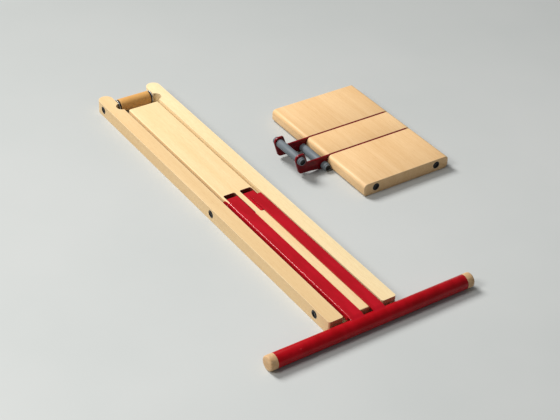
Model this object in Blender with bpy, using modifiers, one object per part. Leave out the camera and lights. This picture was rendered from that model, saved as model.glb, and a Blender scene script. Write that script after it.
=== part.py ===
"""Knock-down stool laid flat: a slotted beech stand with a hinged steel T-leg, and its hook-on seat.

The design frame has X along the leg's cross bar, Y along the stand and Z up. Lengths in the
dimensions below are taken from the stand's centre line in X and from the leg's hinge in Y.
"""
import math

import bmesh
import bpy
from mathutils import Matrix, Vector

GAP = 0.0003                      # clearance between neighbouring pieces
ROUND = 24                        # sides of a full round

# Stand: two rails and a centre plank cut from one board thickness
BOARD = 0.022
RAIL_IN, RAIL_OUT = 0.0332, 0.0572
PLANK_HALF = 0.0274
STAND_NEAR, PLANK_FAR, RAIL_FAR = -0.3073, 0.3110, 0.3692
RAIL_EDGE, PLANK_EDGE = 0.0036, 0.0015
RAIL_CORNER = 0.0045              # rounding of a rail's near corners, seen from above
SCALLOP_X, SCALLOP_Y, SCALLOP_R = 0.0309, 0.3257, 0.0108
POCKETS = {"left": (-0.0245, -0.0035), "right": (0.0047, 0.0256)}
POCKET_NEAR, POCKET_FAR, POCKET_CORNER = -0.0432, 0.0188, 0.003

# Cross rods of the stand
ROD_Z = 0.0120
ROD_R = 0.004
LOWER_Y, HINGE_Y, AXLE_Y = -0.2725, 0.0, 0.3440
PLUG_R, PLUG_DEEP = 0.0062, 0.0032
ROLLER_R, ROLLER_HALF, ROLLER_CHAMFER = 0.0112, 0.0277, 0.0008
DISC_RUBBER, DISC_STEEL = (0.0281, 0.0300, 0.0098), (0.0304, 0.0316, 0.0105)

# Leg: two pressed prongs welded to a cross bar, each with a hinge bracket under its far end
SHEET = 0.0016
PRONGS = {"left": (-0.0293, -0.0073), "right": (0.0094, 0.0299)}
WEB_FAR, WEB_TOP, WEB_TOP_BAR = -0.0050, 0.0250, 0.0243
FLANGE_LOW, FLANGE_FAR = 0.0166, -0.0052
BRACKET_IN = 0.0008               # clearance between a bracket's sides and its pocket
BRACKET_NEAR, BRACKET_FAR, BRACKET_TOP, BRACKET_BEND = -0.0412, 0.0128, 0.0212, 0.005
CHEEK_R, CHEEK_FAR_LOW, CHEEK_NEAR_LOW = 0.0085, 0.0130, 0.0160
OVERLAP = 0.0003                  # how far two welded sheets run into each other
BAR_Y, BAR_R, BAR_WALL = -0.3226, 0.0112, 0.002
BAR_LEFT, BAR_RIGHT = -0.1552, 0.1668
CAP_LONG, CAP_CHAMFER, SPIGOT_LONG = 0.0122, 0.0025, 0.014

# Seat: three boards with two hook plates between them
SEAT_X0, SEAT_X1 = 0.1788, 0.3458
SEAT_Y0, SEAT_Y1 = -0.0681, 0.1904
SEAT_CORNER = 0.0068
PLATE, PLATE_IN = 0.003, 0.0282   # plate thickness, and seat middle to a plate's inner face
PLATE_LOW, PLATE_TOP, PLATE_BACK = 0.0005, 0.0217, 0.158
TIE_R, TIE_REACH, TIE_Z = 0.003, 0.060, 0.0116
SEAT_PLUG_R = 0.0062
SLEEVE_R = 0.0067
HOOK_X, HOOK_Z, HOOK_STUB = -0.0538, 0.0305, 0.0072
REST_X, REST_Z, REST_STUB = -0.0073, 0.0071, 0.0120
END_CAP_R, END_CAP_LONG = 0.0058, 0.0022

BAR_TIPS = (BAR_LEFT - CAP_LONG, BAR_RIGHT + CAP_LONG)
CENTRE = Vector(((BAR_TIPS[0] + SEAT_X1) / 2, (BAR_Y - BAR_R + RAIL_FAR) / 2, 0))
SEAT_MID = (SEAT_Y0 + SEAT_Y1) / 2

BEECH = ((0.80, 0.56, 0.30), 0.45, 0.0)
SEAT_BEECH = ((0.72, 0.46, 0.21), 0.42, 0.0)
RED_STEEL = ((0.36, 0.006, 0.015), 0.25, 0.3)
STEEL = ((0.55, 0.56, 0.57), 0.3, 1.0)
GREY_SLEEVE = ((0.13, 0.15, 0.17), 0.45, 0.0)
BLACK_PLASTIC = ((0.01, 0.01, 0.01), 0.4, 0.0)
TURN_TO = {
    "X": Matrix.Rotation(math.pi / 2, 4, "Y"),
    "Y": Matrix.Rotation(-math.pi / 2, 4, "X"),
    "Z": Matrix.Identity(4),
}


def clear_scene():
    for thing in list(bpy.data.objects):
        bpy.data.objects.remove(thing, do_unlink=True)


def collection(name):
    group = bpy.data.collections.new(name)
    bpy.context.scene.collection.children.link(group)
    return group


def material(name, look):
    colour, roughness, metallic = look
    made = bpy.data.materials.new(name)
    made.use_nodes = True
    shader = made.node_tree.nodes["Principled BSDF"]
    shader.inputs["Base Color"].default_value = (*colour, 1)
    shader.inputs["Roughness"].default_value = roughness
    shader.inputs["Metallic"].default_value = metallic
    return made


def link(name, mesh, anchor, look=None, parent=None):
    """Put a mesh, modelled about its anchor, into the scene; without a look it is a cutter."""
    made = bpy.data.objects.new(name, mesh)
    (PARTS if look else CUTTERS).objects.link(made)
    made.location = anchor - CENTRE
    if look:
        mesh.materials.append(material(name, look))
        mesh.shade_smooth()
        mesh.set_sharp_from_angle(angle=math.radians(35))
    else:
        made.hide_render = True
        made.display_type = "WIRE"
    if parent:
        made.location -= parent.location
        made.parent = parent
    return made


def joint_empty(name, anchor):
    made = bpy.data.objects.new(name, None)
    PARTS.objects.link(made)
    made.location = anchor - CENTRE
    return made


def arc(centre, radius, start, end, steps):
    """Points on a round stretch, from start to end in degrees."""
    turns = [math.radians(start + (end - start) * k / steps) for k in range(steps + 1)]
    return [(centre[0] + radius * math.cos(a), centre[1] + radius * math.sin(a)) for a in turns]


def rounded_box(low, high, radius, steps=5):
    x0, y0, x1, y1 = low[0] + radius, low[1] + radius, high[0] - radius, high[1] - radius
    corners = ((x1, y1, 0), (x0, y1, 90), (x0, y0, 180), (x1, y0, 270))
    return [p for x, y, a in corners for p in arc((x, y), radius, a, a + 90, steps)]


def flat_mesh(name, outline, thickness):
    """A flat outline in XY, thickened evenly about z = 0 and closed."""
    curve = bpy.data.curves.new(name, "CURVE")
    curve.dimensions = "2D"
    curve.fill_mode = "BOTH"
    curve.extrude = thickness / 2
    spline = curve.splines.new("POLY")
    spline.points.add(len(outline) - 1)
    for point, (x, y) in zip(spline.points, outline):
        point.co = (x, y, 0, 1)
    spline.use_cyclic_u = True
    guide = bpy.data.objects.new(name + "_outline", curve)
    CUTTERS.objects.link(guide)
    depsgraph = bpy.context.evaluated_depsgraph_get()
    mesh = bpy.data.meshes.new_from_object(guide.evaluated_get(depsgraph))
    bpy.data.objects.remove(guide)
    tidy = bmesh.new()
    tidy.from_mesh(mesh)
    bmesh.ops.remove_doubles(tidy, verts=tidy.verts, dist=0.00001)
    bmesh.ops.recalc_face_normals(tidy, faces=tidy.faces)
    tidy.to_mesh(mesh)
    tidy.free()
    mesh.name = name
    return mesh


def upright_mesh(name, outline, thickness, across):
    """A flat outline given in YZ (across X) or in XZ (across Y)."""
    mesh = flat_mesh(name, outline, thickness)
    if across == "X":
        mesh.transform(Matrix(((0, 0, 1, 0), (1, 0, 0, 0), (0, 1, 0, 0), (0, 0, 0, 1))))
    else:
        mesh.transform(Matrix(((1, 0, 0, 0), (0, 0, -1, 0), (0, 1, 0, 0), (0, 0, 0, 1))))
    return mesh


def rod_mesh(name, radius, length, axis):
    mesh = bpy.data.meshes.new(name)
    made = bmesh.new()
    bmesh.ops.create_cone(made, cap_ends=True, segments=ROUND, radius1=radius, radius2=radius,
                          depth=length, matrix=TURN_TO[axis])
    made.to_mesh(mesh)
    made.free()
    return mesh


def block_mesh(name, low, high):
    mesh = bpy.data.meshes.new(name)
    made = bmesh.new()
    size = [b - a for a, b in zip(low, high)]
    bmesh.ops.create_cube(made, size=1, matrix=Matrix.Diagonal((*size, 1)))
    made.to_mesh(mesh)
    made.free()
    return mesh


def turned(name, profile, anchor, axis, look, parent=None, ring=False):
    """A turned piece from (radius, height) points that run down its outer side."""
    mesh = bpy.data.meshes.new(name)
    made = bmesh.new()
    verts = [made.verts.new((radius, 0, height)) for radius, height in profile]
    for a, b in zip(verts, verts[1:] + verts[:1] if ring else verts[1:]):
        made.edges.new((a, b))
    made.to_mesh(mesh)
    made.free()
    piece = link(name, mesh, anchor, look, parent)
    piece.rotation_euler = TURN_TO[axis].to_euler()
    screw = piece.modifiers.new("turn", "SCREW")
    screw.steps = screw.render_steps = ROUND
    screw.use_merge_vertices = True
    screw.merge_threshold = 0.00001
    return piece


def ring(name, outer, inner, length, anchor, axis, look, parent=None):
    half = length / 2
    profile = [(outer, half), (outer, -half), (inner, -half), (inner, half)]
    return turned(name, profile, anchor, axis, look, parent, ring=True)


def rod(name, radius, length, anchor, axis, look, parent=None):
    half, chamfer = length / 2, radius * 0.12
    profile = [(0, half), (radius - chamfer, half), (radius, half - chamfer),
               (radius, -half + chamfer), (radius - chamfer, -half), (0, -half)]
    return turned(name, profile, anchor, axis, look, parent)


def bevel(piece, width, segments):
    made = piece.modifiers.new("round_edges", "BEVEL")
    made.width = width
    made.segments = segments
    made.limit_method = "ANGLE"
    made.angle_limit = math.radians(60)


def cut(piece, *cutters):
    for cutter in cutters:
        made = piece.modifiers.new(cutter.name, "BOOLEAN")
        made.operation = "DIFFERENCE"
        made.object = cutter


def join(piece, *others):
    for other in others:
        made = piece.modifiers.new(other.name, "BOOLEAN")
        made.operation = "UNION"
        made.object = other


def bore(name, radius, length, anchor, axis):
    return link(name, rod_mesh(name, radius, length, axis), anchor)


def block(name, low, high):
    return link(name, block_mesh(name, low, high), (Vector(low) + Vector(high)) / 2)


def stand_bores():
    """Through bores and plug seats that the rails and the plank share."""
    rods = {"lower": LOWER_Y, "hinge": HINGE_Y, "axle": AXLE_Y}
    seat_x = RAIL_OUT - PLUG_DEEP / 2 + 0.001
    bores = [bore(key + "_bore", ROD_R + GAP, 0.13, Vector((0, y, ROD_Z)), "X")
             for key, y in rods.items()]
    seats = {side: [bore(f"{key}_{side}_seat", PLUG_R + GAP, PLUG_DEEP + 2 * GAP + 0.002,
                         Vector((sign * seat_x, y, ROD_Z)), "X") for key, y in rods.items()]
             for side, sign in (("left", -1), ("right", 1))}
    return bores, seats


def rail(side, sign, bores, seats):
    half = (RAIL_OUT - RAIL_IN) / 2
    middle = sign * (RAIL_IN + RAIL_OUT) / 2
    far = arc((0, RAIL_FAR - half), half, 0, 180, 14)
    near = arc((RAIL_CORNER - half, STAND_NEAR + RAIL_CORNER), RAIL_CORNER, 180, 270, 4)
    near += arc((half - RAIL_CORNER, STAND_NEAR + RAIL_CORNER), RAIL_CORNER, 270, 360, 4)
    name = side + "_rail"
    piece = link(name, flat_mesh(name, far + near, BOARD), Vector((middle, 0, BOARD / 2)), BEECH)
    bevel(piece, RAIL_EDGE, 3)
    scallop = bore(side + "_scallop", SCALLOP_R, 0.04,
                   Vector((sign * SCALLOP_X, SCALLOP_Y, BOARD / 2)), "Z")
    cut(piece, scallop, *bores, *seats)


def centre_plank(bores):
    outline = rounded_box((-PLANK_HALF, STAND_NEAR), (PLANK_HALF, PLANK_FAR), 0.0025, 3)
    piece = link("centre_plank", flat_mesh("centre_plank", outline, BOARD),
                 Vector((0, 0, BOARD / 2)), BEECH)
    bevel(piece, PLANK_EDGE, 2)
    pockets = []
    for side, (x0, x1) in POCKETS.items():
        outline = rounded_box((x0, POCKET_NEAR), (x1, POCKET_FAR), POCKET_CORNER, 3)
        mesh = flat_mesh(side + "_pocket", outline, 0.04)
        pockets.append(link(side + "_pocket", mesh, Vector((0, 0, BOARD / 2))))
    cut(piece, *pockets, *bores[:2])


def cross_rods():
    reach = 2 * (RAIL_OUT - PLUG_DEEP - 2 * GAP)
    for name, y in (("lower_rod", LOWER_Y), ("hinge_rod", HINGE_Y), ("roller_axle", AXLE_Y)):
        rod(name, ROD_R, reach, Vector((0, y, ROD_Z)), "X", STEEL)
    for side, sign in (("left", -1), ("right", 1)):
        x = sign * (RAIL_OUT - PLUG_DEEP / 2)
        for key, y in (("lower", LOWER_Y), ("hinge", HINGE_Y), ("axle", AXLE_Y)):
            rod(f"{side}_{key}_plug", PLUG_R, PLUG_DEEP, Vector((x, y, ROD_Z)), "X", BLACK_PLASTIC)


def roller_and_discs():
    hub, half, rim = ROD_R + GAP, ROLLER_HALF, ROLLER_R - ROLLER_CHAMFER
    profile = [(hub, half), (rim, half), (ROLLER_R, half - ROLLER_CHAMFER),
               (ROLLER_R, -half + ROLLER_CHAMFER), (rim, -half), (hub, -half)]
    turned("roller", profile, Vector((0, AXLE_Y, ROD_Z)), "X", BEECH, ring=True)
    for side, sign in (("left", -1), ("right", 1)):
        for kind, (x0, x1, radius) in (("rubber", DISC_RUBBER), ("steel", DISC_STEEL)):
            look = BLACK_PLASTIC if kind == "rubber" else STEEL
            ring(f"{side}_{kind}_washer", radius, hub, x1 - x0,
                 Vector((sign * (x0 + x1) / 2, AXLE_Y, ROD_Z)), "X", look)


def web_outline():
    """Side view of a prong's web, which drops a little from the hinge to the bar."""
    return [(BAR_Y, WEB_TOP_BAR), (BAR_Y, WEB_TOP_BAR - SHEET), (WEB_FAR, WEB_TOP - SHEET),
            (WEB_FAR, WEB_TOP)]


def flange_outline():
    """Side view of the fold that hangs down in the slot."""
    near = BAR_Y + BAR_R + 2 * GAP
    return [(near, FLANGE_LOW), (FLANGE_FAR, FLANGE_LOW), (FLANGE_FAR, WEB_TOP - SHEET / 2),
            (near, WEB_TOP_BAR - SHEET / 2)]


def bracket_outline():
    """Side view of a bracket's top sheet: flat in the pocket, and bent down at its far end."""
    bend = (BRACKET_FAR - BRACKET_BEND, BRACKET_TOP - BRACKET_BEND)
    return ([(BRACKET_NEAR, BRACKET_TOP)] + arc(bend, BRACKET_BEND, 90, 0, 6)
            + arc(bend, BRACKET_BEND - SHEET, 0, 90, 6) + [(BRACKET_NEAR, BRACKET_TOP - SHEET)])


def cheek_outline():
    """Side view of a bracket's cheek: it hangs from the top sheet and goes round the hinge rod."""
    bend = (BRACKET_FAR - BRACKET_BEND, BRACKET_TOP - BRACKET_BEND)
    inside = BRACKET_BEND - OVERLAP
    near = BRACKET_NEAR + OVERLAP
    return ([(near, BRACKET_TOP - OVERLAP)] + arc(bend, inside, 90, 0, 6)
            + [(bend[0] + inside, CHEEK_FAR_LOW)] + arc((HINGE_Y, ROD_Z), CHEEK_R, -30, -130, 7)
            + [(near, CHEEK_NEAR_LOW)])


def prong(side, sign, hinge_empty, hinge_bore):
    x0, x1 = PRONGS[side]
    piece = link(side + "_prong", upright_mesh(side + "_prong", web_outline(), x1 - x0, "X"),
                 Vector(((x0 + x1) / 2, 0, 0)), RED_STEEL, hinge_empty)
    outer, inner = (x0, x1) if sign < 0 else (x1, x0)
    low, high = POCKETS[side][0] + BRACKET_IN, POCKETS[side][1] - BRACKET_IN
    outer_wall = low + 2 * OVERLAP if sign < 0 else high - 2 * OVERLAP
    sheets = [("flange", flange_outline(), outer - sign * SHEET / 2, SHEET),
              ("bracket_top", bracket_outline(), (low + high) / 2, high - low),
              ("low_cheek", cheek_outline(), low + SHEET / 2 + OVERLAP, SHEET),
              ("high_cheek", cheek_outline(), high - SHEET / 2 - OVERLAP, SHEET)]
    joined = [link(f"{side}_{kind}", upright_mesh(f"{side}_{kind}", outline, width, "X"),
                   Vector((x, 0, 0))) for kind, outline, x, width in sheets]
    for kind, x in (("inner_wall", inner + sign * OVERLAP), ("outer_wall", outer_wall)):
        x0, x1 = sorted((x, x + SHEET if x < (low + high) / 2 else x - SHEET))
        joined.append(block(f"{side}_{kind}", (x0, BRACKET_NEAR + OVERLAP, BRACKET_TOP - OVERLAP),
                            (x1, WEB_FAR - OVERLAP, WEB_TOP - SHEET + OVERLAP)))
    join(piece, *joined)
    cut(piece, hinge_bore)


def cross_bar(hinge_empty):
    middle, length = (BAR_LEFT + BAR_RIGHT) / 2, BAR_RIGHT - BAR_LEFT
    ring("cross_bar", BAR_R, BAR_R - BAR_WALL, length, Vector((middle, BAR_Y, BAR_R)), "X",
         RED_STEEL, hinge_empty)
    spigot = BAR_R - BAR_WALL - GAP
    for side, sign, end in (("left", -1, BAR_LEFT), ("right", 1, BAR_RIGHT)):
        profile = [(0, CAP_LONG), (BAR_R - CAP_CHAMFER, CAP_LONG), (BAR_R, CAP_LONG - CAP_CHAMFER),
                   (BAR_R, GAP), (spigot, GAP), (spigot, -SPIGOT_LONG), (0, -SPIGOT_LONG)]
        cap = turned(side + "_bar_cap", profile, Vector((end, BAR_Y, BAR_R)), "X", BEECH, hinge_empty)
        if sign < 0:
            cap.rotation_euler = Matrix.Rotation(-math.pi / 2, 4, "Y").to_euler()


def seat_board(name, y0, y1, tie_bores, plug_seats, lift_empty):
    outline = rounded_box((SEAT_X0, 0), (SEAT_X1, BOARD), SEAT_CORNER)
    piece = link(name, upright_mesh(name, outline, y1 - y0, "Y"),
                 Vector((0, (y0 + y1) / 2, 0)), SEAT_BEECH, lift_empty)
    cut(piece, *tie_bores, *plug_seats)


def hook_outline():
    """Side view of a hook plate: a long tongue, and a leaning arm that rises at its free end."""
    tongue = [(PLATE_BACK, PLATE_TOP), (PLATE_BACK, PLATE_LOW), (-0.010, PLATE_LOW), (-0.034, 0.0036)]
    heel = arc((-0.0485, 0.0121), 0.0078, 270, 190, 5)
    head = [(-0.0626, 0.0310)] + arc((-0.0550, 0.0330), 0.0073, 175, 90, 4)
    throat = [(-0.0474, 0.0403), (-0.0458, 0.0383), (-0.0402, 0.0240), (-0.0388, 0.0220)]
    return tongue + heel + head + throat + [(-0.0372, PLATE_TOP)]


def hook_plate(side, sign, plate_bores, lift_empty):
    name = side + "_hook_plate"
    y = SEAT_MID + sign * (PLATE_IN + PLATE / 2)
    piece = link(name, upright_mesh(name, hook_outline(), PLATE, "Y"),
                 Vector((SEAT_X0, y, 0)), RED_STEEL, lift_empty)
    cut(piece, *plate_bores)


def sleeved_rod(kind, x, z, stub, lift_empty):
    """A rod through both plates with a sleeve between them, and a capped sleeve on each side."""
    half = PLATE_IN + PLATE + stub
    at = Vector((SEAT_X0 + x, SEAT_MID, z))
    rod(kind + "_rod", ROD_R, 2 * (half - END_CAP_LONG - 2 * GAP), at, "Y", STEEL, lift_empty)
    ring(kind + "_middle_sleeve", SLEEVE_R, ROD_R + GAP, 2 * (PLATE_IN - GAP), at, "Y", GREY_SLEEVE,
         lift_empty)
    for side, sign in (("near", -1), ("far", 1)):
        start, end = PLATE_IN + PLATE + GAP, half - END_CAP_LONG - GAP
        ring(f"{kind}_{side}_sleeve", SLEEVE_R, ROD_R + GAP, end - start,
             at + Vector((0, sign * (start + end) / 2, 0)), "Y", GREY_SLEEVE, lift_empty)
        rod(f"{kind}_{side}_cap", END_CAP_R, END_CAP_LONG,
            at + Vector((0, sign * (half - END_CAP_LONG / 2), 0)), "Y", BLACK_PLASTIC, lift_empty)


def seat(lift_empty):
    middle = (SEAT_X0 + SEAT_X1) / 2
    ties = {"back": middle - TIE_REACH, "front": middle + TIE_REACH}
    ends = {"near": SEAT_Y0 + PLUG_DEEP / 2, "far": SEAT_Y1 - PLUG_DEEP / 2}
    tie_bores, plug_seats = [], []
    for key, x in ties.items():
        tie_bores.append(bore(key + "_tie_bore", TIE_R + GAP, 0.30, Vector((x, SEAT_MID, TIE_Z)), "Y"))
        reach = SEAT_Y1 - SEAT_Y0 - 2 * (PLUG_DEEP + 2 * GAP)
        rod(key + "_tie_rod", TIE_R, reach, Vector((x, SEAT_MID, TIE_Z)), "Y", STEEL, lift_empty)
        for side, y in ends.items():
            at = Vector((x, y, TIE_Z))
            out = Vector((0, -0.001 if side == "near" else 0.001, 0))
            rod(f"{side}_{key}_seat_plug", SEAT_PLUG_R, PLUG_DEEP, at, "Y", BLACK_PLASTIC, lift_empty)
            plug_seats.append(bore(f"{side}_{key}_plug_seat", SEAT_PLUG_R + GAP,
                                   PLUG_DEEP + 2 * GAP + 0.002, at + out, "Y"))
    inner, outer = PLATE_IN - GAP, PLATE_IN + PLATE + GAP
    seat_board("near_board", SEAT_Y0, SEAT_MID - outer, tie_bores, plug_seats[::2], lift_empty)
    seat_board("middle_board", SEAT_MID - inner, SEAT_MID + inner, tie_bores, [], lift_empty)
    seat_board("far_board", SEAT_MID + outer, SEAT_Y1, tie_bores, plug_seats[1::2], lift_empty)
    rod_bores = [bore(kind + "_rod_bore", ROD_R + GAP, 0.09, Vector((SEAT_X0 + x, SEAT_MID, z)), "Y")
                 for kind, x, z in (("hook", HOOK_X, HOOK_Z), ("rest", REST_X, REST_Z))]
    for side, sign in (("near", -1), ("far", 1)):
        hook_plate(side, sign, tie_bores + rod_bores, lift_empty)
    sleeved_rod("hook", HOOK_X, HOOK_Z, HOOK_STUB, lift_empty)
    sleeved_rod("rest", REST_X, REST_Z, REST_STUB, lift_empty)


def stool():
    bores, seats = stand_bores()
    rail("left", -1, bores, seats["left"])
    rail("right", 1, bores, seats["right"])
    centre_plank(bores)
    cross_rods()
    roller_and_discs()
    hinge_empty = joint_empty("leg_hinge", Vector((0, HINGE_Y, ROD_Z)))
    hinge_bore = bore("prong_bore", ROD_R + GAP, 0.07, Vector((0, HINGE_Y, ROD_Z)), "X")
    prong("left", -1, hinge_empty, hinge_bore)
    prong("right", 1, hinge_empty, hinge_bore)
    cross_bar(hinge_empty)
    seat(joint_empty("seat_lift", Vector(((SEAT_X0 + SEAT_X1) / 2, SEAT_MID, 0))))


clear_scene()
PARTS = collection("knock_down_stool")
CUTTERS = collection("cutters")
stool()
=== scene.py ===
import math

import bmesh
import bpy
from mathutils import Matrix, Vector


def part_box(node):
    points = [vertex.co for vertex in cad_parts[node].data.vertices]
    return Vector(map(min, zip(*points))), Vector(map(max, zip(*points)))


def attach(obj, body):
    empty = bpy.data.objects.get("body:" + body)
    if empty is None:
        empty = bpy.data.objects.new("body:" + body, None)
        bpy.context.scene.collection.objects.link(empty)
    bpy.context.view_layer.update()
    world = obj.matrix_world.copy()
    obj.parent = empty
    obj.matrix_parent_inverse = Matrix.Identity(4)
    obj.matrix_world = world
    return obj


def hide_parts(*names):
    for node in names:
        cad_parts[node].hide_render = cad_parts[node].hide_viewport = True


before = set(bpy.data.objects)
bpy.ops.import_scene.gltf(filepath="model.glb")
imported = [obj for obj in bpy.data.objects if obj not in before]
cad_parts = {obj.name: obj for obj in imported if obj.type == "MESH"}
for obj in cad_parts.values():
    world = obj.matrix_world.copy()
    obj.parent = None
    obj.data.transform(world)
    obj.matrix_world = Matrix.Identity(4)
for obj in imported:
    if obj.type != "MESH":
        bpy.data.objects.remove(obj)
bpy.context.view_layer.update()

# ---------------------------------------------------------------- camera
# Stands beyond the cross bar and to the left of the stand, about 1.2 m above the floor, with a
# long lens, looking down along the stool.
eye = Vector((-1.0249, -1.4474, 1.2220))
heading, down_tilt, roll = math.radians(-35.11), math.radians(35.54), math.radians(2.605)
lens = bpy.data.cameras.new("camera")
lens.sensor_width = 36.0
lens.lens = 88.5
lens.clip_start, lens.clip_end = 0.05, 30.0
camera = bpy.data.objects.new("camera", lens)
turned = (Matrix.Rotation(heading, 4, "Z") @ Matrix.Rotation(math.pi / 2 - down_tilt, 4, "X")
          @ Matrix.Rotation(roll, 4, "Z"))
camera.matrix_world = Matrix.Translation(eye) @ turned
bpy.context.scene.collection.objects.link(camera)
bpy.context.scene.camera = camera

# ---------------------------------------------------------------- side rails
# Two planed beech rails, oiled and lacquered, with soft-rounded edges. Their far ends are round
# ears that hold the roller, and a cove inside each ear lets the seat's rod through.


class Wire:
    """A value that changes over a surface: arithmetic on it adds Math nodes."""

    def __init__(self, finish, socket):
        self.finish, self.socket = finish, socket

    def maths(self, operation, first, second):
        return self.finish.node("ShaderNodeMath", {"operation": operation}, {0: first, 1: second})

    def __add__(self, other):
        return self.maths("ADD", self, other)

    def __radd__(self, other):
        return self.maths("ADD", other, self)

    def __sub__(self, other):
        return self.maths("SUBTRACT", self, other)

    def __rsub__(self, other):
        return self.maths("SUBTRACT", other, self)

    def __mul__(self, other):
        return self.maths("MULTIPLY", self, other)

    def __rmul__(self, other):
        return self.maths("MULTIPLY", other, self)

    def __truediv__(self, other):
        return self.maths("DIVIDE", self, other)


class Finish:
    """A procedural surface that ends in one Principled shader."""

    def __init__(self, name, **constants):
        self.material = bpy.data.materials.new(name)
        self.material.use_nodes = True
        self.tree = self.material.node_tree
        self.shader = self.tree.nodes["Principled BSDF"]
        for socket, value in constants.items():
            self.shader.inputs[socket.replace("_", " ")].default_value = value

    def node(self, kind, settings, sockets, output=0):
        made = self.tree.nodes.new(kind)
        for key, value in settings.items():
            if key == "stops":
                self.set_stops(made.color_ramp, value)
            else:
                setattr(made, key, value)
        for key, value in sockets.items():
            if isinstance(value, Wire):
                self.tree.links.new(value.socket, made.inputs[key])
            elif value is not None:
                made.inputs[key].default_value = value
        return Wire(self, made.outputs[output])

    def set_stops(self, ramp, stops):
        while len(ramp.elements) < len(stops):
            ramp.elements.new(0.5)
        for element, (place, grey) in zip(ramp.elements, stops):
            element.position = place
            element.color = (grey, grey, grey, 1)

    def feed(self, socket, wire):
        self.tree.links.new(wire.socket, self.shader.inputs[socket])

    def place(self, centre=(0, 0, 0), turn=(0, 0, 0), stretch=(1, 1, 1)):
        """Object coordinates, moved to a piece's centre, turned, then stretched."""
        spot = self.node("ShaderNodeTexCoord", {}, {}, "Object")
        moved = self.node("ShaderNodeVectorMath", {"operation": "SUBTRACT"}, {0: spot, 1: centre})
        return self.node("ShaderNodeMapping", {}, {"Vector": moved, "Rotation": turn, "Scale": stretch})

    def noise(self, vector, detail=3.0, rough=0.5, twist=0.0):
        return self.node("ShaderNodeTexNoise", {}, {"Vector": vector, "Scale": 1.0, "Detail": detail,
                                                    "Roughness": rough, "Distortion": twist})

    def ramp(self, wire, *stops):
        return self.node("ShaderNodeValToRGB", {"stops": stops}, {"Fac": wire})

    def mix(self, factor, first, second, blend="MIX"):
        """Mix of two colours, each a link or an (r, g, b)."""
        sockets = {0: factor, 6: colour_of(first), 7: colour_of(second)}
        return self.node("ShaderNodeMix", {"data_type": "RGBA", "blend_type": blend}, sockets, 2)

    def edge_wear_and_highlight(self, reach):
        """Near 1 along a rounded or sharp edge, 0 on the flat."""
        soft = self.node("ShaderNodeBevel", {"samples": 6}, {"Radius": reach})
        plain = self.node("ShaderNodeNewGeometry", {}, {}, "Normal")
        sockets = {0: soft, 1: plain}
        same = self.node("ShaderNodeVectorMath", {"operation": "DOT_PRODUCT"}, sockets, "Value")
        return self.ramp(1.0 - same, (0.004, 0.0), (0.09, 1.0))

    def below(self, first, second):
        """1 where the first value is less than the second."""
        return self.node("ShaderNodeMath", {"operation": "LESS_THAN"}, {0: first, 1: second})

    def bump(self, height, distance, strength):
        sockets = {"Height": height, "Distance": distance, "Strength": strength}
        self.feed("Normal", self.node("ShaderNodeBump", {}, sockets))


def colour_of(value):
    return value if isinstance(value, Wire) else (*value, 1.0)


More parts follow.
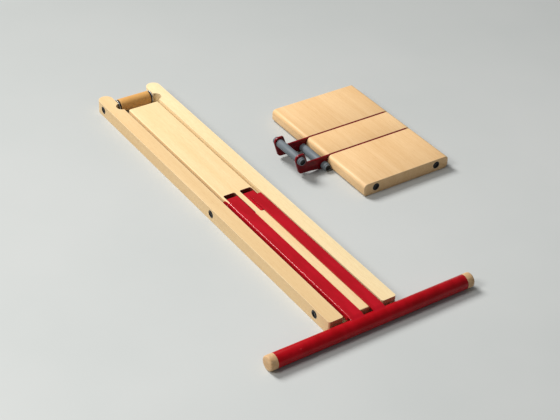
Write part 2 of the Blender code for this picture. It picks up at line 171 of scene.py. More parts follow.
def beech(name, centre, along, light, dark, shift, shaded_room=None, open_ends=0.8):
    """Clear-lacquered beech with its grain along one axis: soft rings, pores, ray flecks, specks.
    The seventh argument gives (low x, high x, low y, high y, top) of a room whose walls get painted
    shade in dark red, for deep shadow and red light thrown back from the leg."""
    finish = Finish(name, Coat_Weight=0.06, Coat_Roughness=0.3, Specular_IOR_Level=0.25)
    normal = finish.node("ShaderNodeTexCoord", {}, {}, "Normal")
    lengthways = finish.node("ShaderNodeSeparateXYZ", {}, {0: normal}, along)
    end_cut = finish.ramp(lengthways * lengthways, (0.55, 0.0), (0.9, 1.0))
    turn = (0, 0, 0) if along == "Y" else (0, 0, math.pi / 2)
    centre = (centre[0] + shift, centre[1] - shift, centre[2] + 0.3 * shift)
    rings_at = finish.place(centre, turn, (55, 2.2, 30))
    streaks_at = finish.place(centre, turn, (330, 7.5, 330))
    pores_at = finish.place(centre, turn, (2400, 75, 2400))
    flecks_at = finish.place(centre, turn, (1500, 330, 1500))
    patches_at = finish.place(centre, turn, (14, 5, 14))
    rings = finish.noise(rings_at, detail=3, rough=0.55, twist=0.4)
    streaks = finish.noise(streaks_at, detail=4, rough=0.6)
    pores = finish.noise(pores_at, detail=2)
    end_pores = finish.noise(finish.place(centre, turn, (700, 700, 700)), detail=2)
    flecks = finish.ramp(finish.noise(flecks_at, detail=1), (0.66, 0.0), (0.76, 1.0))
    patches = finish.noise(patches_at, detail=2)
    specks_at = finish.place(centre, turn, (17, 9, 17))
    specks = finish.ramp(finish.node("ShaderNodeTexVoronoi", {}, {"Vector": specks_at}),
                         (0.012, 1.0), (0.03, 0.0))
    tone = finish.ramp(0.45 * rings + 0.35 * streaks + 0.2 * patches, (0.32, 0.0), (0.68, 1.0))
    colour = finish.mix(tone, light, dark)
    colour = finish.mix(0.24 * finish.ramp(pores, (0.45, 0.0), (0.75, 1.0)), colour, (0.42, 0.2, 0.06))
    colour = finish.mix(0.42 * flecks, colour, (0.50, 0.24, 0.08))
    colour = finish.mix(0.55 * specks, colour, (0.16, 0.07, 0.03))
    colour = finish.mix(0.5 * open_ends * end_cut, colour, (0.30, 0.19, 0.07))
    colour = finish.mix(open_ends * end_cut * finish.ramp(end_pores, (0.52, 0.0), (0.66, 1.0)), colour,
                        (0.05, 0.03, 0.012))
    edge = finish.edge_wear_and_highlight(0.0012)
    # Painted highlight: the edges are lightened towards a pale cream.
    colour = finish.mix(0.45 * edge, colour, (1.0, 0.86, 0.62))
    # Painted shade: below its top, the walls of the given room turn dark red for deep shadow and the
    # leg's reflected red.
    if shaded_room:
        spot = finish.node("ShaderNodeTexCoord", {}, {}, "Object")
        across, length, height = (finish.node("ShaderNodeSeparateXYZ", {}, {0: spot}, axis)
                                  for axis in "XYZ")
        mask = finish.below(height, shaded_room[4])
        mask *= finish.below(shaded_room[0], across) * finish.below(across, shaded_room[1])
        mask *= finish.below(shaded_room[2], length) * finish.below(length, shaded_room[3])
        colour = finish.mix(0.92 * mask, colour, (0.10, 0.006, 0.004))
    finish.feed("Base Color", colour)
    finish.feed("Roughness", 0.40 + 0.14 * streaks + 0.08 * flecks - 0.05 * edge)
    finish.bump(0.6 * pores + 0.4 * streaks - 0.5 * flecks, 0.00012, 0.5)
    return finish.material


def clear_selection():
    if bpy.context.object and bpy.context.object.mode == "EDIT":
        bpy.ops.object.mode_set(mode="OBJECT")
    bpy.ops.object.select_all(action="DESELECT")


def name_new(name):
    """Name what was just added, and put its place and size into its mesh."""
    piece = bpy.context.object
    piece.name = piece.data.name = name
    bpy.ops.object.transform_apply(location=True, rotation=True, scale=True)
    return piece


def add_block(name, low, high):
    clear_selection()
    size = [b - a for a, b in zip(low, high)]
    middle = [(a + b) / 2 for a, b in zip(low, high)]
    bpy.ops.mesh.primitive_cube_add(size=1, location=middle, scale=size)
    return name_new(name)


def add_round(name, centre, radius, length, axis="X", sides=72, ends="NGON"):
    clear_selection()
    turn = {"X": (0, math.pi / 2, 0), "Y": (math.pi / 2, 0, 0), "Z": (0, 0, 0)}[axis]
    bpy.ops.mesh.primitive_cylinder_add(vertices=sides, radius=radius, depth=length, location=centre,
                                        rotation=turn, end_fill_type=ends)
    return name_new(name)


def add_bore(centre, axis):
    return add_round("bore", centre, bore_radius, 0.3, axis, 48)


def round_edges(piece, test, width, segments):
    """Bevel the edges whose two ends pass a test on their places."""
    bpy.context.view_layer.objects.active = piece
    bpy.ops.object.mode_set(mode="EDIT")
    bpy.ops.mesh.select_mode(type="EDGE")
    bpy.ops.mesh.select_all(action="DESELECT")
    shape = bmesh.from_edit_mesh(piece.data)
    for edge in shape.edges:
        if test(edge.verts[0].co, edge.verts[1].co):
            edge.select_set(True)
    bmesh.update_edit_mesh(piece.data)
    bpy.ops.mesh.bevel(offset=width, segments=segments, profile=0.5, affect="EDGES", clamp_overlap=True)
    bpy.ops.object.mode_set(mode="OBJECT")


def both_at(axis, place, slack=0.00002):
    return lambda a, b: abs(a[axis] - place) < slack and abs(b[axis] - place) < slack


def either(*tests):
    return lambda a, b: any(test(a, b) for test in tests)


def both(*tests):
    return lambda a, b: all(test(a, b) for test in tests)


def apply_modifier(piece, kind, **settings):
    bpy.context.view_layer.objects.active = piece
    made = piece.modifiers.new(kind.lower(), kind)
    for key, value in settings.items():
        setattr(made, key, value)
    bpy.ops.object.modifier_apply(modifier=made.name)


def carve(piece, *cutters):
    for cutter in cutters:
        apply_modifier(piece, "BOOLEAN", operation="DIFFERENCE", solver="EXACT", object=cutter)
        bpy.data.objects.remove(cutter)


def weld_on(piece, *others):
    for other in others:
        apply_modifier(piece, "BOOLEAN", operation="UNION", solver="EXACT", object=other)
        bpy.data.objects.remove(other)


def smooth(piece):
    clear_selection()
    piece.select_set(True)
    bpy.context.view_layer.objects.active = piece
    bpy.ops.object.shade_smooth_by_angle(angle=math.radians(32), keep_sharp_edges=False)


def fit_out(piece, body, material, node):
    """Smooth a finished piece, give it its finish, and hang it on its body in its node's place."""
    smooth(piece)
    piece.data.materials.append(material)
    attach(piece, body)
    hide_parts(node)


def corners_of(node):
    low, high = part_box(node)
    return Vector(low), Vector(high)


def middle_of(node):
    low, high = corners_of(node)
    return (low + high) / 2


def standing(a, b):
    """True for an edge that runs up a board's corner."""
    return abs(a.z - b.z) > 0.01


rail_edge, slot_edge, near_corner = 0.0036, 0.0014, 0.0032
cove_radius, cove_from_axle, cove_from_middle = 0.0108, 0.0183, 0.0309
bore_radius, plug_seat_radius, plug_seat_depth = 0.0043, 0.0065, 0.0035
past_face = 0.002
# Both rails are the same beech: the left one's tones are darker as painted shade, the right one's
# lighter as painted light.
lit_and_shaded_rail_tones = {"left": ((0.80, 0.595, 0.33), (0.70, 0.475, 0.23)),
              "right": ((0.91, 0.745, 0.455), (0.84, 0.64, 0.34))}
stand_low, stand_high = corners_of("left_rail")
right_low, right_high = corners_of("right_rail")
stand_middle = (stand_low.x + right_high.x) / 2
rod_places = {"lower": middle_of("lower_rod"), "hinge": middle_of("hinge_rod"),
              "axle": middle_of("roller_axle")}

for side, low, high, outer_x, inward in (("left", stand_low, stand_high, stand_low.x, 1),
                                         ("right", right_low, right_high, right_high.x, -1)):
    rail = add_block(side + "_side_rail", low, high)
    ear_radius = (high.x - low.x) / 2 - 0.00005
    round_edges(rail, both(standing, both_at(1, high.y)), ear_radius, 24)
    round_edges(rail, both(standing, both_at(1, low.y)), near_corner, 6)
    faces = either(both_at(2, high.z), both_at(2, low.z))
    slot_side = low.x if inward < 0 else high.x
    round_edges(rail, both(faces, both_at(0, slot_side)), slot_edge, 4)
    ends_and_outside = both(faces, lambda a, b: not both_at(0, slot_side, 0.0004)(a, b))
    round_edges(rail, ends_and_outside, rail_edge, 7)
    cove_at = Vector((stand_middle - inward * cove_from_middle,
                      rod_places["axle"].y - cove_from_axle, high.z / 2))
    cutters = [add_round("cove", cove_at, cove_radius, 0.04, "Z", 96)]
    for place in rod_places.values():
        cutters.append(add_bore(place, "X"))
        seat_at = Vector((outer_x + inward * (plug_seat_depth - past_face) / 2, place.y, place.z))
        cutters.append(add_round("plug_seat", seat_at, plug_seat_radius,
                                 plug_seat_depth + past_face, "X"))
    carve(rail, *cutters)
    apply_modifier(rail, "WELD", merge_threshold=0.00001)
    light, dark = lit_and_shaded_rail_tones[side]
    fit_out(rail, "stand", beech(side + "_rail_beech", middle_of(side + "_rail"), "Y", light, dark,
                                 inward * 0.37), side + "_rail")

# ---------------------------------------------------------------- centre plank
# The same beech, a wider board between the rails, with two pockets in which the leg's brackets
# turn on the hinge rod. The pockets' walls get painted shade in dark red, for deep shadow and the leg's
# red light thrown back.
plank_low, plank_high = corners_of("centre_plank")
plank = add_block("centre_board", plank_low, plank_high)
plank_corner, plank_edge, pocket_corner = 0.0025, 0.0016, 0.003
round_edges(plank, standing, plank_corner, 5)
round_edges(plank, either(both_at(2, plank_high.z), both_at(2, plank_low.z)), plank_edge, 5)
# Where the pockets lie: their ends along the stand, and their sides from its middle line
pocket_near, pocket_far = rod_places["hinge"].y - 0.0432, rod_places["hinge"].y + 0.0188
pockets = {"left": (-0.0245, -0.0035), "right": (0.0047, 0.0256)}
for pocket_x in pockets.values():
    pocket = add_block("pocket", (stand_middle + pocket_x[0], pocket_near, -0.01),
                       (stand_middle + pocket_x[1], pocket_far, 0.03))
    round_edges(pocket, standing, pocket_corner, 6)
    carve(plank, pocket)
carve(plank, *[add_bore(rod_places[key], "X") for key in ("lower", "hinge")])
plank_light, plank_dark = (0.89, 0.69, 0.40), (0.80, 0.57, 0.29)
# The room whose walls get painted shade: the two pockets, up to just under the plank's top.
pocket_shade_room = (stand_middle - 0.0262, stand_middle + 0.0264,
               pocket_near - 0.001, pocket_far + 0.0006, 0.0212)
fit_out(plank, "stand", beech("plank_beech", middle_of("centre_plank"), "Y", plank_light, plank_dark,
                              0.11, pocket_shade_room), "centre_plank")

# ---------------------------------------------------------------- cross rods
# Turned bright-steel rods through the wood. They stay as the frame has them, in a drawn-steel
# finish with fine turning marks.


def drawn_steel(name, centre, axis):
    finish = Finish(name, Metallic=1.0)
    along = {"X": (60, 2600, 2600), "Y": (2600, 60, 2600)}[axis]
    lines = finish.noise(finish.place(centre, stretch=along), detail=3)
    stains = finish.noise(finish.place(centre, stretch=(120, 120, 120)), detail=4)
    dull = finish.ramp(stains, (0.5, 0.0), (0.75, 1.0))
    finish.feed("Base Color", finish.mix(0.5 * dull, (0.60, 0.61, 0.62), (0.34, 0.33, 0.31)))
    finish.feed("Roughness", 0.24 + 0.18 * lines + 0.2 * dull)
    finish.bump(lines, 0.00003, 0.4)
    return finish.material


def finish_rod(node, axis):
    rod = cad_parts[node].data
    rod.materials.clear()
    rod.materials.append(drawn_steel(node + "_steel", middle_of(node), axis))


for node in ("lower_rod", "hinge_rod", "roller_axle"):
    finish_rod(node, "X")

# ---------------------------------------------------------------- rod plugs
# Black moulded bushes pressed flush into the rails over the rod ends, with a shallow dished
# centre where the rod's end shows dull.


def black_moulding(name, centre, axis_index, eye_radius=0.0):
    """Fine-grained black plastic; an eye, if it has one, is the dull metal seen in its middle."""
    finish = Finish(name, Specular_IOR_Level=0.4)
    grain = finish.noise(finish.place(centre, stretch=(1400, 1400, 1400)), detail=2)
    dust = finish.ramp(finish.noise(finish.place(centre, stretch=(260, 260, 260)), detail=4),
                       (0.52, 0.0), (0.72, 1.0))
    colour = finish.mix(0.25 * dust, (0.010, 0.010, 0.011), (0.055, 0.052, 0.048))
    if eye_radius:
        flat = [1, 1, 1]
        flat[axis_index] = 0
        spot = finish.node("ShaderNodeVectorMath", {"operation": "LENGTH"},
                           {0: finish.place(centre, stretch=flat)}, "Value")
        eye_mask = finish.ramp(spot / (2 * eye_radius), (0.44, 1.0), (0.54, 0.0))
        colour = finish.mix(0.9 * eye_mask, colour, (0.11, 0.11, 0.095))
    # The edges are lightened: wear together with a painted highlight.
    edge = finish.edge_wear_and_highlight(0.0005)
    finish.feed("Base Color", finish.mix(0.3 * edge, colour, (0.07, 0.07, 0.07)))
    finish.feed("Roughness", 0.42 + 0.15 * grain + 0.2 * dust)
    finish.bump(grain, 0.00004, 0.6)
    return finish.material


def dish_end(piece, end_x, rim, depth):
    """Inset the end face at a place along X and push it in."""
    bpy.context.view_layer.objects.active = piece
    bpy.ops.object.mode_set(mode="EDIT")
    bpy.ops.mesh.select_mode(type="FACE")
    bpy.ops.mesh.select_all(action="DESELECT")
    shape = bmesh.from_edit_mesh(piece.data)
    for face in shape.faces:
        if abs(face.calc_center_median().x - end_x) < 0.00005 and face.normal.x > 0.9:
            face.select_set(True)
    bmesh.update_edit_mesh(piece.data)
    bpy.ops.mesh.inset(thickness=rim, depth=0)
    bpy.ops.mesh.inset(thickness=0.0003, depth=0)
    bpy.ops.transform.translate(value=(-depth, 0, 0))
    bpy.ops.object.mode_set(mode="OBJECT")


def make_plug(name, like_node, rim, hollow):
    """A plug at the origin that faces +X, as wide and as long as a node's; copies of it are fitted."""
    low, high = corners_of(like_node)
    radius, length = (high.z - low.z) / 2, min(high - low)
    plug = add_round(name, (0, 0, 0), radius, length, "X", 64)
    round_edges(plug, both_at(0, length / 2), plug_round_off, 3)
    dish_end(plug, length / 2, radius * rim, hollow)
    return plug


def copy_to(model, name, place, quarter_turns):
    """A copy with a mesh of its own, turned by quarter turns about Z and put in its place."""
    clear_selection()
    model.select_set(True)
    bpy.context.view_layer.objects.active = model
    bpy.ops.object.duplicate()
    copy = bpy.context.object
    copy.matrix_world = Matrix.Translation(place) @ Matrix.Rotation(quarter_turns * math.pi / 2, 4, "Z")
    return name_new(name)


quarter_turns_to = {("X", 1): 0, ("Y", 1): 1, ("X", -1): 2, ("Y", -1): 3}


def fit_plug(model, name, node, body, axis, outward, eye_radius=0.0):
    plug = copy_to(model, name, middle_of(node), quarter_turns_to[axis, outward])
    material = black_moulding(name + "_black", middle_of(node), "XYZ".index(axis), eye_radius)
    fit_out(plug, body, material, node)
    return plug


rod_eye_radius, plug_round_off = 0.0021, 0.0005
bush = make_plug("bush", "left_hinge_plug", 0.42, 0.0008)
for side, outward in (("left", -1), ("right", 1)):
    for key in rod_places:
        fit_plug(bush, f"{side}_{key}_bush", f"{side}_{key}_plug", "stand", "X", outward, rod_eye_radius)

# ---------------------------------------------------------------- roller
# A turned beech roller on the axle between the rails' ears, with a rubber and a steel washer at
# each end.
roller_low, roller_high = corners_of("roller")
roller = add_round("beech_roller", middle_of("roller"), (roller_high.z - roller_low.z) / 2,
                   roller_high.x - roller_low.x, "X", 96)
roller_edge, washer_edge = 0.0009, 0.00035
round_edges(roller, either(both_at(0, roller_low.x), both_at(0, roller_high.x)), roller_edge, 4)
carve(roller, add_bore(rod_places["axle"], "X"))
fit_out(roller, "roller", beech("roller_beech", middle_of("roller"), "X", (0.74, 0.42, 0.14),
                                (0.56, 0.27, 0.065), 0.05), "roller")


def make_washer(like_node):
    """A bored disc at the origin across X, as wide and as thick as a node's."""
    low, high = corners_of(like_node)
    half = (high.x - low.x) / 2
    washer = add_round("washer", (0, 0, 0), (high.z - low.z) / 2, 2 * half, "X", 64)
    round_edges(washer, either(both_at(0, -half), both_at(0, half)), washer_edge, 3)
    carve(washer, add_bore((0, 0, 0), "X"))
    return washer


rubber_disc, steel_disc = make_washer("left_rubber_washer"), make_washer("left_steel_washer")
for side in ("left", "right"):
    node = side + "_rubber_washer"
    disc = copy_to(rubber_disc, side + "_rubber_disc", middle_of(node), 0)
    fit_out(disc, "stand", black_moulding(side + "_rubber_disc_black", middle_of(node), 0), node)
    node = side + "_steel_washer"
    disc = copy_to(steel_disc, side + "_steel_disc", middle_of(node), 0)
    fit_out(disc, "stand", drawn_steel(side + "_washer_steel", middle_of(node), "X"), node)
for model in (rubber_disc, steel_disc):
    bpy.data.objects.remove(model)

# ---------------------------------------------------------------- leg prongs
# Two pressed-steel prongs in glossy red powder coat. Each lies on the plank with a fold down in
# the slot that ends in a lug, and carries a lower bracket whose cheeks turn on the hinge rod.


prong_reds = (0.37, 0.003, 0.009), (0.46, 0.004, 0.014)
# The bar's reds are a little darker than the prongs' as painted shade.
bar_reds_with_painted_shade = (0.33, 0.001, 0.004), (0.42, 0.002, 0.008)
hook_reds = (0.12, 0.0005, 0.003), (0.20, 0.001, 0.006)


def red_coat(name, centre, reds, gloss=0.25):
    """Powder coat over steel: faint orange peel, cloudy tone, darker scuffs, and a painted highlight
    along the edges.
    """
    finish = Finish(name, Coat_Weight=gloss, Coat_Roughness=0.10, Specular_IOR_Level=0.15)
    peel = finish.noise(finish.place(centre, stretch=(650, 650, 650)), detail=2)
    cloud = finish.noise(finish.place(centre, stretch=(70, 22, 70)), detail=4, rough=0.6)
    scuffs = finish.noise(finish.place(centre, stretch=(420, 60, 420)), detail=5, rough=0.65)
    scuffs = finish.ramp(scuffs, (0.60, 0.0), (0.74, 1.0))
    edge = finish.edge_wear_and_highlight(0.0008)
    colour = finish.mix(finish.ramp(cloud, (0.35, 0.0), (0.65, 1.0)), *reds)
    colour = finish.mix(0.22 * scuffs, colour, (0.16, 0.012, 0.016))
    # Painted highlight: the edges are lightened towards a brighter red.
    finish.feed("Base Color", finish.mix(0.25 * edge, colour, (0.56, 0.02, 0.04)))
    finish.feed("Roughness", 0.27 + 0.10 * cloud + 0.22 * scuffs)
    finish.bump(peel, 0.00006, 0.45)
    return finish.material


def flat_plate(name, outline, thickness, across, at):
    """A plate cut to an outline: a flat curve given a thickness, then made a mesh and stood up."""
    clear_selection()
    curve = bpy.data.curves.new(name, "CURVE")
    curve.dimensions, curve.fill_mode = "2D", "BOTH"
    curve.extrude = thickness / 2
    spline = curve.splines.new("POLY")
    spline.points.add(len(outline) - 1)
    for point, (x, y) in zip(spline.points, outline):
        point.co = (x, y, 0, 1)
    spline.use_cyclic_u = True
    plate = bpy.data.objects.new(name, curve)
    bpy.context.scene.collection.objects.link(plate)
    plate.select_set(True)
    bpy.context.view_layer.objects.active = plate
    bpy.ops.object.convert(target="MESH")
    plate = bpy.context.object
    columns = ((0, 0, 1), (1, 0, 0), (0, 1, 0)) if across == "X" else ((1, 0, 0), (0, 0, -1), (0, 1, 0))
    plate.matrix_world = Matrix.Translation(at) @ Matrix(columns).to_4x4()
    bpy.ops.object.transform_apply(location=True, rotation=True, scale=True)
    apply_modifier(plate, "WELD", merge_threshold=0.00001)
    bpy.ops.object.mode_set(mode="EDIT")
    bpy.ops.mesh.select_all(action="SELECT")
    bpy.ops.mesh.normals_make_consistent(inside=False)
    bpy.ops.object.mode_set(mode="OBJECT")
    return plate


def slice_across(piece, y):
    """Add a ring of edges round a piece at a place along the stand."""
    bpy.context.view_layer.objects.active = piece
    bpy.ops.object.mode_set(mode="EDIT")
    bpy.ops.mesh.select_all(action="SELECT")
    bpy.ops.mesh.bisect(plane_co=(0, y, 0), plane_no=(0, 1, 0))
    bpy.ops.object.mode_set(mode="OBJECT")


def arc(centre, radius, start, end, steps):
    turns = [math.radians(start + (end - start) * k / steps) for k in range(steps + 1)]
    return [(centre[0] + radius * math.cos(a), centre[1] + radius * math.sin(a)) for a in turns]


# Sizes from the stand's middle line, its foot and the hinge rod; sunk is how far a part reaches
# into the one it is welded to
hinge, bar = rod_places["hinge"], middle_of("cross_bar")
bar_radius = bar.z
sheet, bend_radius, sunk = 0.0016, 0.0022, 0.0003
prong_sides = {"left": (-0.0293, -0.0073), "right": (0.0094, 0.0299)}
web_far, web_top_far, web_top_near, flange_low = hinge.y - 0.0050, 0.0250, 0.0243, 0.0166
melt_long, melt_deep, melt_steps = 0.011, 0.0021, 8
bracket_near, bracket_far, bracket_top, bracket_bend = -0.0412, 0.0128, 0.0212, 0.005
pocket_clearance, outer_wall_inset = 0.0008, 0.0006
cheek_radius, cheek_far_low, cheek_near_low = 0.0085, 0.0130, 0.0160
lugs = {"left": (0.0115, 0.0232), "right": (0.0064, 0.0184)}
lug_near, lug_neck = -0.014, (-0.007, 0.004)

for side, sign in (("left", -1), ("right", 1)):
    x_low, x_high = prong_sides[side]
    x_fold, x_in = (x_low, x_high) if sign < 0 else (x_high, x_low)
    # The channel: web and fold in one strip of sheet, drawn as its section and run along the stand
    fold_at = (x_fold - sign * bend_radius, web_top_far - bend_radius)
    turn_to = 0 if sign > 0 else 180
    section = [(x_in, web_top_far)] + arc(fold_at, bend_radius, 90, turn_to, 8)
    section += [(x_fold, flange_low), (x_fold - sign * sheet, flange_low)]
    section += arc(fold_at, bend_radius - sheet, turn_to, 90, 8) + [(x_in, web_top_far - sheet)]
    prong = flat_plate(side + "_red_prong", section, web_far - bar.y, "Y",
                       Vector((stand_middle, (web_far + bar.y) / 2, 0)))
    # It drops slightly towards the bar, and its last part melts down into the weld on the tube
    drop = (web_top_far - web_top_near) / (web_far - bar.y)
    for step in range(melt_steps):
        slice_across(prong, bar.y + melt_long * (step + 0.5) / melt_steps)
    for vertex in prong.data.vertices:
        if vertex.co.z > 0.02:
            vertex.co.z -= drop * (web_far - vertex.co.y)
            along = max(0.0, 1 - (vertex.co.y - bar.y) / melt_long)
            vertex.co.z -= melt_deep * along * along * (3 - 2 * along)
    flange_x = sorted((stand_middle + x_fold - sign * 0.0020, stand_middle + x_fold + sign * 0.01))
    carve(prong, add_block("flange_end", (flange_x[0], bar.y - 0.02, -0.01),
                           (flange_x[1], bar.y + bar_radius + 0.0006, web_top_near - 0.0021)))
    # The hinge bracket: a low sheet bent down at its far end, a cheek at each side, and two
    # walls up to the channel
    low, high = pockets[side][0] + pocket_clearance, pockets[side][1] - pocket_clearance
    bend_at = (bracket_far - bracket_bend, bracket_top - bracket_bend)
    lid = [(bracket_near, bracket_top)] + arc(bend_at, bracket_bend, 90, 0, 12)
    lid += arc(bend_at, bracket_bend - sheet, 0, 90, 12) + [(bracket_near, bracket_top - sheet)]
    middle = Vector((stand_middle, hinge.y, 0))
    parts = [flat_plate("lid", lid, high - low, "X", middle + Vector(((low + high) / 2, 0, 0)))]
    inside = bracket_bend - sunk
    cheek = [(bracket_near + sunk, bracket_top - sunk)] + arc(bend_at, inside, 90, 0, 12)
    cheek += [(bend_at[0] + inside, cheek_far_low)] + arc((0, hinge.z), cheek_radius, -30, -130, 14)
    cheek += [(bracket_near + sunk, cheek_near_low)]
    for x in (low + sheet / 2 + sunk, high - sheet / 2 - sunk):
        parts.append(flat_plate("cheek", cheek, sheet, "X", middle + Vector((x, 0, 0))))
    outer_wall = low + outer_wall_inset if sign < 0 else high - outer_wall_inset
    for x in (x_in + sign * sunk, outer_wall):
        x0, x1 = sorted((x, x + sheet if x < (low + high) / 2 else x - sheet))
        wall_low = (stand_middle + x0, hinge.y + bracket_near + sunk, bracket_top - sunk)
        wall_high = (stand_middle + x1, web_far - sunk, web_top_far - sheet + sunk)
        parts.append(add_block("wall", wall_low, wall_high))
    # The fold carries on past the web as a round lug on the hinge rod
    lug_radius, lug_top = lugs[side]
    lug = [(lug_near, flange_low + 0.0002), (lug_near, lug_top - 0.0006), (0.0008, lug_top)]
    lug += arc((0, hinge.z), lug_radius, 58, -60, 16) + [(lug_neck[0], flange_low - lug_neck[1])]
    parts.append(flat_plate("lug", lug, sheet - 0.0002, "X",
                            middle + Vector((x_fold - sign * sheet / 2, 0, 0))))
    weld_on(prong, *parts)
    carve(prong, add_bore(hinge, "X"))
    fit_out(prong, "leg", red_coat(side + "_prong_red", middle_of(side + "_prong"), prong_reds),
            side + "_prong")

# ---------------------------------------------------------------- cross bar
# A steel tube in the same red, set a little darker than the prongs' as painted shade, welded under
# the ends of the prongs, with a small pin head near its left end that holds the wooden plug.
bar_low, bar_high = corners_of("cross_bar")
tube_wall, tube_edge, sharp = 0.002, 0.0003, math.radians(50)
tube = add_round("red_cross_bar", bar, bar_radius, bar_high.x - bar_low.x, "X", 96, "NOTHING")
apply_modifier(tube, "SOLIDIFY", thickness=tube_wall, offset=-1.0)
apply_modifier(tube, "BEVEL", width=tube_edge, segments=2, limit_method="ANGLE", angle_limit=sharp)
fit_out(tube, "leg", red_coat("cross_bar_red", bar, bar_reds_with_painted_shade, 0.06), "cross_bar")

pin_from_left, pin_turn, pin_radius, pin_sunk = 0.0374, math.radians(130), 0.0013, 0.0007
pin_out = Vector((0, math.cos(pin_turn), math.sin(pin_turn))) * (bar_radius - pin_sunk)
pin_at = Vector((bar_low.x + pin_from_left, bar.y, bar.z)) + pin_out
clear_selection()
bpy.ops.mesh.primitive_uv_sphere_add(segments=32, ring_count=16, radius=pin_radius, location=pin_at)
pin = name_new("bar_pin")
smooth(pin)
pin.data.materials.append(red_coat("bar_pin_red", pin_at, prong_reds))
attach(pin, "leg")

# ---------------------------------------------------------------- bar plugs
# Turned beech plugs in the tube's ends, with chamfered heads and rough end grain on their faces.
# A thinner spigot holds each one in the tube.


def end_grain(name, centre):
    """Cut-across beech: pale, thick with short pores, ring lines and grubby dots."""
    finish = Finish(name, Specular_IOR_Level=0.3)
    pores = finish.ramp(finish.noise(finish.place(centre, stretch=(900, 900, 900)), detail=4, rough=0.7),
                        (0.50, 0.0), (0.68, 1.0))
    rings = finish.noise(finish.place(centre, turn=(0.5, 0, 0), stretch=(180, 60, 420)), detail=3)
    grubby = finish.ramp(finish.noise(finish.place(centre, stretch=(210, 210, 210)), detail=4),
                         (0.5, 0.0), (0.7, 1.0))
    colour = finish.mix(finish.ramp(rings, (0.35, 0.0), (0.65, 1.0)),
                        (0.70, 0.46, 0.245), (0.58, 0.35, 0.17))
    colour = finish.mix(0.40 * pores, colour, (0.36, 0.24, 0.14))
    colour = finish.mix(0.25 * grubby, colour, (0.45, 0.38, 0.28))
    edge = finish.edge_wear_and_highlight(0.0010)
    # The edges are lightened: wear together with a painted highlight.
    finish.feed("Base Color", finish.mix(0.25 * edge, colour, (0.95, 0.78, 0.55)))
    finish.feed("Roughness", 0.55 + 0.2 * pores)
    finish.bump(pores, 0.00015, 0.6)
    return finish.material


# One plug across X at the origin: its head outside the tube, its spigot inside
right_cap_end = corners_of("right_bar_cap")[1].x
head_gap, chamfer = 0.0003, 0.0024
spigot_radius, spigot_length, spigot_back = bar_radius - 0.0024, 0.014, 0.006
head_length = right_cap_end - bar_high.x - head_gap
bar_plug = add_round("bar_plug", (0, 0, 0), bar_radius, head_length, "X", 96)
round_edges(bar_plug, both_at(0, head_length / 2), chamfer, 3)
spigot_x = -head_length / 2 - head_gap - spigot_back
weld_on(bar_plug, add_round("spigot", (spigot_x, 0, 0), spigot_radius, spigot_length, "X", 64))
for side, outward in (("left", -1), ("right", 1)):
    head_x = (bar_high.x if outward > 0 else bar_low.x) + outward * (head_gap + head_length / 2)
    plug = copy_to(bar_plug, side + "_beech_plug", (head_x, bar.y, bar.z),
                   quarter_turns_to["X", outward])
    fit_out(plug, "leg", end_grain(side + "_plug_end_grain", middle_of(side + "_bar_cap")),
            side + "_bar_cap")
bpy.data.objects.remove(bar_plug)

# ---------------------------------------------------------------- seat boards
# Three beech boards, a shade more orange than the stand, with grain from back to front and
# well-rounded long edges. Steel rods tie them to the hook plates, plugged like the stand's.
seat_round, saw_edge = 0.0068, 0.0005
seat_light, seat_dark = (0.86, 0.60, 0.33), (0.71, 0.445, 0.205)
for count, node in enumerate(("near_board", "middle_board", "far_board")):
    low, high = corners_of(node)
    board = add_block(node + "_beech", low, high)
    round_edges(board, lambda a, b: abs(a.y - b.y) > 0.01, seat_round, 10)
    round_edges(board, either(both_at(1, low.y), both_at(1, high.y)), saw_edge, 2)
    cutters = []
    for end, tie in (("near", "back"), ("near", "front"), ("far", "back"), ("far", "front")):
        if node.startswith(end):
            seat = middle_of(f"{end}_{tie}_seat_plug")
            cutters.append(add_round("plug_seat", seat, plug_seat_radius, plug_seat_depth + 0.0004, "Y"))
    carve(board, *cutters)
    fit_out(board, "seat", beech(node + "_wood", middle_of(node), "X", seat_light, seat_dark,
                                 0.23 * (count + 1), None, 0.12), node)

for end, outward in (("near", -1), ("far", 1)):
    for tie in ("back", "front"):
        fit_plug(bush, f"{end}_{tie}_board_plug", f"{end}_{tie}_seat_plug", "seat", "Y", outward)
bpy.data.objects.remove(bush)
for node in ("back_tie_rod", "front_tie_rod"):
    finish_rod(node, "Y")

# ---------------------------------------------------------------- hook plates
# Two red steel plates clamped between the boards. Each runs out behind the seat as a tongue and
# rises in a leaning arm that hooks over the stand.
seat_back = corners_of("middle_board")[0].x
hook, rest = middle_of("hook_rod"), middle_of("rest_rod")
# One plate, modelled in the near plate's place. Its outline is measured from the seat's back edge
hook_low, hook_high = corners_of("near_hook_plate")
far_x = hook_high.x - seat_back
tongue = [(far_x, 0.0217), (far_x, hook_low.z), (-0.010, hook_low.z), (-0.034, 0.0036)]
heel = arc((-0.0485, 0.0121), 0.0078, 270, 190, 12)
head = [(-0.0626, 0.0310)] + arc((-0.0550, 0.0330), 0.0073, 175, 90, 10)
throat = arc((-0.0481, 0.0380), 0.0023, 90, 22, 5) + [(-0.0405, 0.0245)]
throat += arc((-0.0376, 0.0245), 0.0028, 200, 270, 6)
plate_edge = 0.0004
near_plate_at = Vector((seat_back, (hook_low.y + hook_high.y) / 2, 0))
hook_plate = flat_plate("hook_plate", tongue + heel + head + throat, hook_high.y - hook_low.y, "Y",
                        near_plate_at)
carve(hook_plate, add_bore(hook, "Y"), add_bore(rest, "Y"))
apply_modifier(hook_plate, "BEVEL", width=plate_edge, segments=3, limit_method="ANGLE",
               angle_limit=sharp)
for end in ("near", "far"):
    node = end + "_hook_plate"
    moved = (0, middle_of(node).y - near_plate_at.y, 0)
    plate = copy_to(hook_plate, end + "_red_hook", moved, 0)
    fit_out(plate, "seat", red_coat(end + "_hook_red", middle_of(node), hook_reds, 0.1), node)
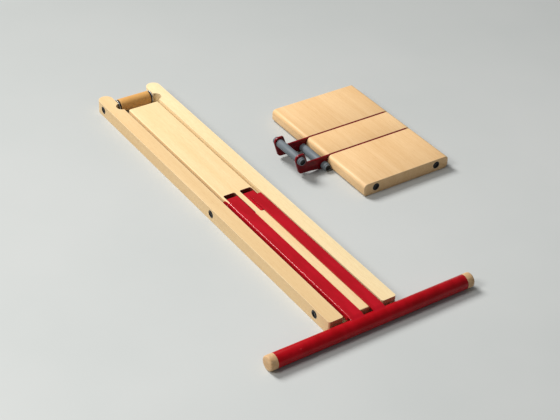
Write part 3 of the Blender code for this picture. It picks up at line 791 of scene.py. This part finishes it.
bpy.data.objects.remove(hook_plate)

# ---------------------------------------------------------------- hook and rest rods
# Steel rods through the plates, in grey plastic sleeves. A grey cap with a hollow black end is
# pressed on each end.


def grey_sleeve(name, centre):
    finish = Finish(name, Specular_IOR_Level=0.3)
    grain = finish.noise(finish.place(centre, stretch=(900, 900, 900)), detail=2)
    drag = finish.noise(finish.place(centre, stretch=(500, 40, 500)), detail=4)
    rubbed = finish.ramp(drag, (0.48, 0.0), (0.70, 1.0))
    edge = finish.edge_wear_and_highlight(0.0006)
    colour = finish.mix(0.5 * rubbed, (0.125, 0.150, 0.170), (0.20, 0.225, 0.24))
    # The edges are lightened: wear together with a painted highlight.
    finish.feed("Base Color", finish.mix(0.4 * edge, colour, (0.30, 0.33, 0.35)))
    finish.feed("Roughness", 0.55 + 0.15 * grain - 0.1 * rubbed)
    finish.bump(grain + 0.5 * drag, 0.00005, 0.5)
    return finish.material


def paint_sides(cap, material):
    """Give a cap's round side and rim the sleeves' grey, and leave its hollow end black."""
    cap.data.materials.append(material)
    middle = sum((Vector(corner) for corner in cap.bound_box), Vector()) / 8
    widest = max((vertex.co - middle).xz.length for vertex in cap.data.vertices)
    for face in cap.data.polygons:
        if (face.center - middle).xz.length > 0.8 * widest:
            face.material_index = 1


def make_sleeve(like_node):
    """A bored sleeve at the origin along Y, as wide and as long as a node's."""
    low, high = corners_of(like_node)
    half = (high.y - low.y) / 2
    made = add_round("sleeve", (0, 0, 0), (high.x - low.x) / 2, 2 * half, "Y")
    round_edges(made, either(both_at(1, -half), both_at(1, half)), sleeve_edge, 3)
    carve(made, add_bore((0, 0, 0), "Y"))
    return made


sleeve_edge = 0.0004
middle_sleeve = make_sleeve("hook_middle_sleeve")
end_cap = make_plug("end_cap", "hook_near_cap", 0.14, 0.0018)
for kind in ("hook", "rest"):
    finish_rod(kind + "_rod", "Y")
    outer_sleeve = make_sleeve(kind + "_near_sleeve")
    for where, model in (("near", outer_sleeve), ("middle", middle_sleeve), ("far", outer_sleeve)):
        node = f"{kind}_{where}_sleeve"
        sleeve = copy_to(model, f"{kind}_{where}_grey_sleeve", middle_of(node), 0)
        fit_out(sleeve, "seat", grey_sleeve(node + "_grey", middle_of(node)), node)
    bpy.data.objects.remove(outer_sleeve)
    for where, outward in (("near", -1), ("far", 1)):
        node = f"{kind}_{where}_cap"
        cap = fit_plug(end_cap, f"{kind}_{where}_end_cap", node, "seat", "Y", outward)
        paint_sides(cap, grey_sleeve(node + "_grey", middle_of(node)))
for model in (middle_sleeve, end_cap):
    bpy.data.objects.remove(model)

# ---------------------------------------------------------------- floor and light
# A plain pale floor with painted shade that darkens it a little towards the roller, a large soft light
# beyond the stool, a weaker one to its left, and an even sky.
clear_selection()
bpy.ops.mesh.primitive_plane_add(size=12, location=(0, 0, -0.0001))
floor = name_new("floor")
floor_finish = Finish("floor_paint", Specular_IOR_Level=0.25)
cloud = floor_finish.noise(floor_finish.place(stretch=(3, 3, 3)), detail=5)
far_off = floor_finish.node("ShaderNodeSeparateXYZ", {}, {0: floor_finish.place()}, "Y")
paint = floor_finish.mix(floor_finish.ramp(cloud, (0.35, 0.0), (0.65, 1.0)), (0.53, 0.555, 0.55),
                         (0.56, 0.58, 0.575))
# Painted shade: the floor's colour darkens with distance along Y, towards the roller.
paint = floor_finish.mix(floor_finish.ramp(far_off * 0.8 + 0.4, (0.16, 0.0), (1.0, 0.62)), paint,
                         (0.30, 0.315, 0.31))
floor_finish.feed("Base Color", paint)
floor_finish.feed("Roughness", 0.6 + 0.1 * cloud)
floor.data.materials.append(floor_finish.material)


def soft_light(name, place, size, power, colour):
    """A round lamp that points at the middle of the stool."""
    light = bpy.data.lights.new(name, "AREA")
    light.shape, light.size, light.energy, light.color = "DISK", size, power, colour
    lamp = bpy.data.objects.new(name, light)
    lamp.location = place
    lamp.rotation_euler = (-Vector(place)).to_track_quat("-Z", "Y").to_euler()
    bpy.context.scene.collection.objects.link(lamp)


soft_light("key", (-1.0, 2.4, 2.9), 1.6, 172, (1.0, 0.985, 0.965))
soft_light("side", (-2.6, 0.1, 2.5), 1.2, 50, (1.0, 0.98, 0.94))
sky = bpy.data.worlds.new("sky")
sky.use_nodes = True
background = sky.node_tree.nodes["Background"]
background.inputs["Color"].default_value = (0.98, 0.98, 1.0, 1)
background.inputs["Strength"].default_value = 0.17
bpy.context.scene.world = sky
bpy.context.scene.view_settings.view_transform = "Standard"
